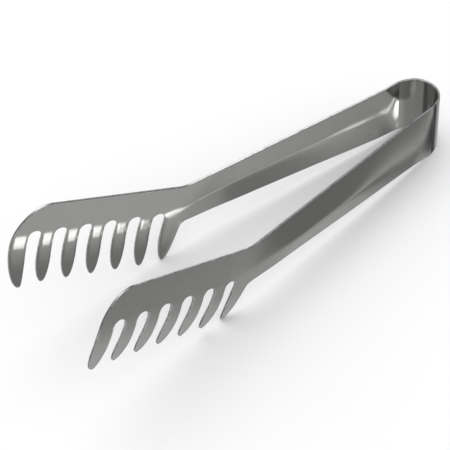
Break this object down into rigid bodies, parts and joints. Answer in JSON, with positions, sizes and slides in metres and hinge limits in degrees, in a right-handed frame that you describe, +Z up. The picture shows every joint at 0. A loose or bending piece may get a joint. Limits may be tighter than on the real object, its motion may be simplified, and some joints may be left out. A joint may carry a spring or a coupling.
{
  "type": "comb serving tongs",
  "caption": "Sprung stainless tongs folded from one strip, with channelled handles and comb heads whose curled tines grip ice or food.",
  "frame": {"origin": "on the ground under the middle of the overall length, in the plane of symmetry, with the tongs standing on the crown of the bow and on the tips of the tines nearest to the handles", "axes": "+X towards the bow, -X towards the combs, +Y the right arm, +Z up from the ground. The bow's own axis lies in the XZ plane, a few degrees from +Z"},
  "size_m": [0.2042, 0.0632, 0.0623],
  "materials": {
    "polished_stainless": "polished stainless sheet with fine wiping marks"
  },
  "bodies": {
    "bow": {"bow": "polished_stainless"},
    "right_arm": {"right_handle": "polished_stainless", "right_comb_plate": "polished_stainless", "right_tine_1": "polished_stainless", "right_tine_2": "polished_stainless", "right_tine_3": "polished_stainless", "right_tine_4": "polished_stainless", "right_tine_5": "polished_stainless", "right_tine_6": "polished_stainless", "right_tine_7": "polished_stainless"},
    "left_arm": {"left_handle": "polished_stainless", "left_comb_plate": "polished_stainless", "left_tine_1": "polished_stainless", "left_tine_2": "polished_stainless", "left_tine_3": "polished_stainless", "left_tine_4": "polished_stainless", "left_tine_5": "polished_stainless", "left_tine_6": "polished_stainless", "left_tine_7": "polished_stainless"}
  },
  "joints": [
    {"name": "right_arm_flex", "type": "hinge", "parent": "bow", "child": "right_arm", "pos_m": [0.0971, 0.00671, 0.01463], "axis": [0.0649, 0, 0.9979], "range_deg": [-2.5, 7.5], "stiffness_Nm_per_rad": 19, "deforming": ["bow"]},
    {"name": "left_arm_flex", "type": "hinge", "parent": "bow", "child": "left_arm", "pos_m": [0.0971, -0.00671, 0.01463], "axis": [0.0649, 0, 0.9979], "range_deg": [-7.5, 2.5], "stiffness_Nm_per_rad": 19, "deforming": ["bow"]}
  ],
  "couplings": [
    {"joint": "left_arm_flex", "follows": "right_arm_flex", "ratio": -1}
  ]
}
